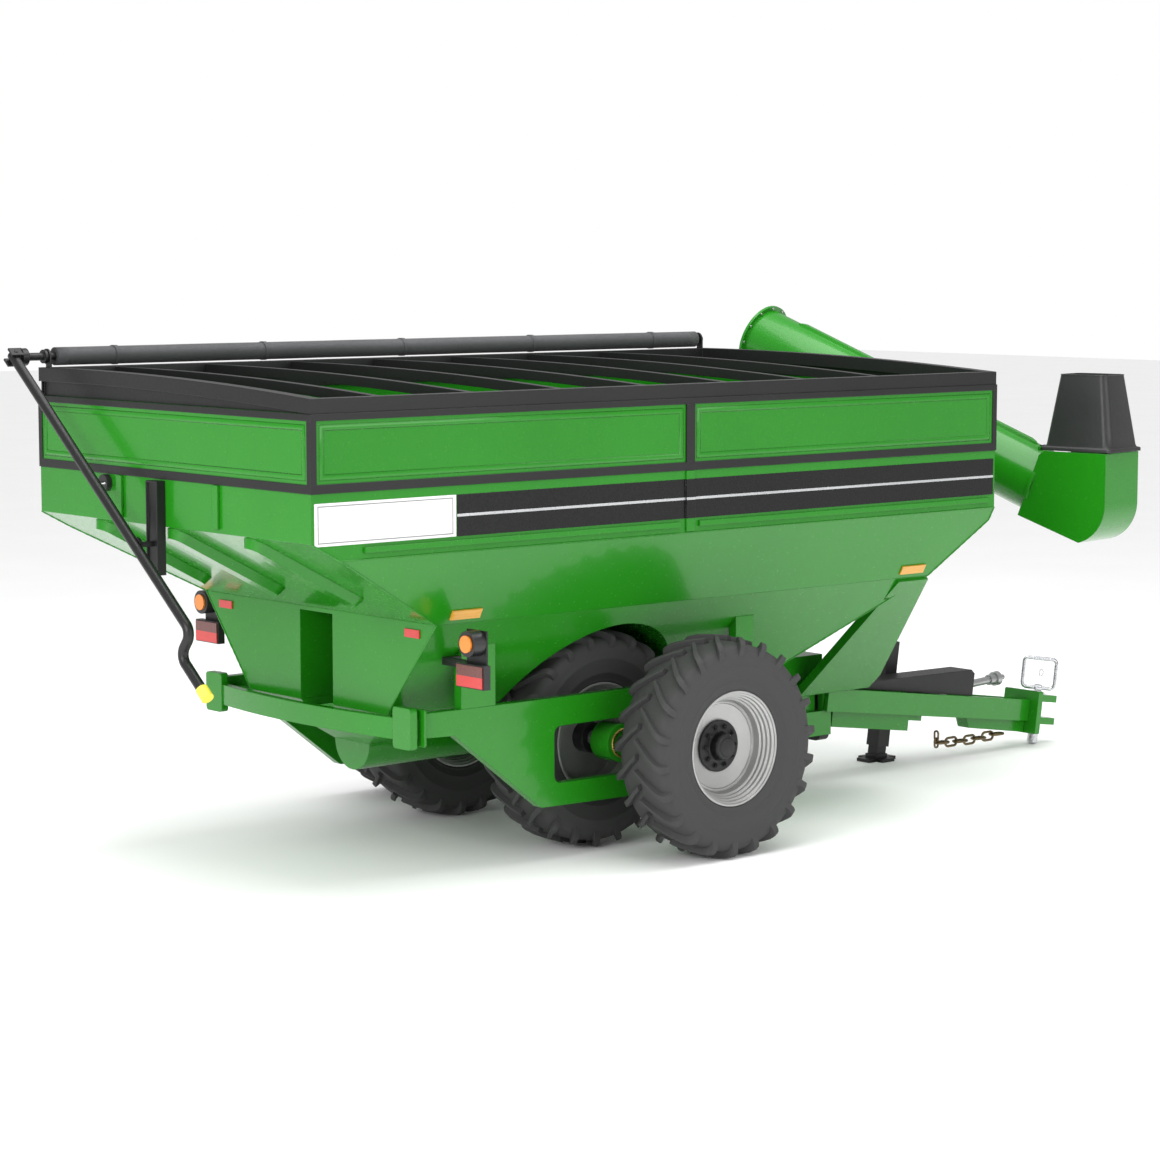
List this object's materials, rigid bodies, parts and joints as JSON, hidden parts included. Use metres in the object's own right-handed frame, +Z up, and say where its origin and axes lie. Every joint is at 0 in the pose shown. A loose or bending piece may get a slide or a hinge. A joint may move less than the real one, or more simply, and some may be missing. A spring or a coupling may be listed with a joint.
{
  "type": "grain cart",
  "caption": "Towed grain cart with a sloping hopper, folding corner auger, staggered wheels, rolling tarp frame, clevis hitch and jack.",
  "frame": {"origin": "on the drawbar pin's axis, midway between the clevis ears of the hitch", "axes": "+X forwards towards the tractor, +Y to the left (auger side), +Z up; ground is 321 mm below"},
  "size_m": [9.8716, 4.5718, 4.004],
  "materials": {
    "green_paint": "gloss",
    "black_paint": "satin",
    "rim_silver": "metallic",
    "hub_black": "satin paint",
    "tyre_rubber": "matte",
    "machined_steel": "machined",
    "screw_steel": "grain-worn",
    "zinc_pin": "zinc plated",
    "chain_steel": "oiled bronze-brown",
    "tarp_cloth": "vinyl-coated cloth",
    "grip_yellow": "moulded",
    "black_plastic": "moulded",
    "red_lens": "moulded lens",
    "amber_lens": "moulded lens"
  },
  "bodies": {
    "cart": {"tank_sump": "green_paint", "sump_cover": "green_paint", "tank_funnel": "green_paint", "tank_hopper": "green_paint", "upper_walls": "green_paint", "tank_trim": "black_paint", "tank_ribs": "green_paint", "side_plates": "green_paint", "spindle_bosses": "green_paint", "spindles": "machined_steel", "cross_frame": "green_paint", "rear_bar": "green_paint", "support_posts": "green_paint", "brace_plates": "green_paint", "tongue_rails": "green_paint", "hitch_head": "green_paint", "pto_shield": "black_paint", "jack_tube": "black_paint", "safety_chain": "chain_steel", "auger_foot": "green_paint", "lower_auger_tube": "green_paint", "fold_hinge_pin": "machined_steel", "drive_case": "black_paint", "drive_chain": "chain_steel", "tarp_frame": "black_paint", "tarp_bows": "black_paint", "crank_bracket": "black_paint", "lamp_cases": "black_plastic", "red_lenses": "red_lens", "amber_lenses": "amber_lens", "lamp_brackets": "black_paint"},
    "input_shaft": {"pto_shaft": "machined_steel", "pto_sprocket": "screw_steel"},
    "floor_auger": {"floor_screw": "screw_steel", "floor_sprocket": "screw_steel"},
    "lower_auger": {"lower_screw": "screw_steel"},
    "upper_auger": {"upper_auger_tube": "green_paint", "auger_head": "green_paint"},
    "upper_screw_body": {"upper_screw": "screw_steel"},
    "spout": {"spout_boot": "black_plastic"},
    "jack_ram": {"jack_leg": "black_paint"},
    "drawbar_pin": {"hitch_pin": "zinc_pin", "pin_handle": "zinc_pin"},
    "roll": {"tarp_roll": "tarp_cloth", "roll_yoke": "black_paint"},
    "crank": {"crank_rod": "black_paint", "crank_grip": "grip_yellow"},
    "gate": {"flow_gate": "screw_steel"},
    "wheel_outer_right": {"tyre_outer_right": "tyre_rubber", "rim_outer_right": "rim_silver", "hub_outer_right": "hub_black"},
    "wheel_inner_right": {"tyre_inner_right": "tyre_rubber", "rim_inner_right": "rim_silver", "hub_inner_right": "hub_black"},
    "wheel_inner_left": {"tyre_inner_left": "tyre_rubber", "rim_inner_left": "rim_silver", "hub_inner_left": "hub_black"},
    "wheel_outer_left": {"tyre_outer_left": "tyre_rubber", "rim_outer_left": "rim_silver", "hub_outer_left": "hub_black"}
  },
  "joints": [
    {"name": "spin_outer_right", "type": "hinge", "parent": "cart", "child": "wheel_outer_right", "pos_m": [-5.751, -1.834, 0.509], "axis": [0, 1, 0], "continuous": true},
    {"name": "spin_inner_right", "type": "hinge", "parent": "cart", "child": "wheel_inner_right", "pos_m": [-6.209, -0.844, 0.509], "axis": [0, 1, 0], "continuous": true},
    {"name": "spin_inner_left", "type": "hinge", "parent": "cart", "child": "wheel_inner_left", "pos_m": [-6.209, 0.844, 0.509], "axis": [0, 1, 0], "continuous": true},
    {"name": "spin_outer_left", "type": "hinge", "parent": "cart", "child": "wheel_outer_left", "pos_m": [-5.751, 1.834, 0.509], "axis": [0, 1, 0], "continuous": true},
    {"name": "pto_spin", "type": "hinge", "parent": "cart", "child": "input_shaft", "pos_m": [-2.968, 0, 0.195], "axis": [0.9984, 0, 0.057], "continuous": true},
    {"name": "floor_auger_spin", "type": "hinge", "parent": "cart", "child": "floor_auger", "pos_m": [-6.375, 0, 0.529], "axis": [1, 0, 0], "continuous": true},
    {"name": "lower_screw_spin", "type": "hinge", "parent": "cart", "child": "lower_auger", "pos_m": [-3.375, 0, 0.529], "axis": [0.3292, 0.6341, 0.6997], "continuous": true},
    {"name": "auger_fold", "type": "hinge", "parent": "cart", "child": "upper_auger", "pos_m": [-1.95716, 1.96686, 3.11977], "axis": [-0.6798, -0.3552, 0.6417], "range_deg": [0, 142.27]},
    {"name": "upper_screw_spin", "type": "hinge", "parent": "upper_auger", "child": "upper_screw_body", "pos_m": [-1.675, 1.906, 3.385], "axis": [0.1407, -0.9218, -0.3612], "continuous": true},
    {"name": "spout_tilt", "type": "hinge", "parent": "upper_auger", "child": "spout", "pos_m": [-1.20233, -1.19104, 2.523], "axis": [-0.9886, -0.1509, 0], "range_deg": [0, 25]},
    {"name": "jack_extend", "type": "slide", "parent": "cart", "child": "jack_ram", "axis": [-0.1392, 0, -0.9903], "range_m": [0, 0.35]},
    {"name": "hitch_pin_lift", "type": "slide", "parent": "cart", "child": "drawbar_pin", "axis": [0.1392, 0, 0.9903], "range_m": [0, 0.45]},
    {"name": "tarp_roll_spin", "type": "hinge", "parent": "cart", "child": "roll", "pos_m": [-5.975, 1.735, 3.401], "axis": [1, 0, 0], "continuous": true},
    {"name": "crank_swing", "type": "hinge", "parent": "roll", "child": "crank", "pos_m": [-9.59, 1.735, 3.401], "axis": [0, 0.6195, -0.785], "range_deg": [0, 80]},
    {"name": "gate_slide", "type": "slide", "parent": "cart", "child": "gate", "axis": [1, 0, 0], "range_m": [0, 0.5]}
  ],
  "couplings": [
    {"joint": "floor_auger_spin", "follows": "pto_spin", "ratio": 0.75},
    {"joint": "lower_screw_spin", "follows": "pto_spin", "ratio": 0.75}
  ]
}
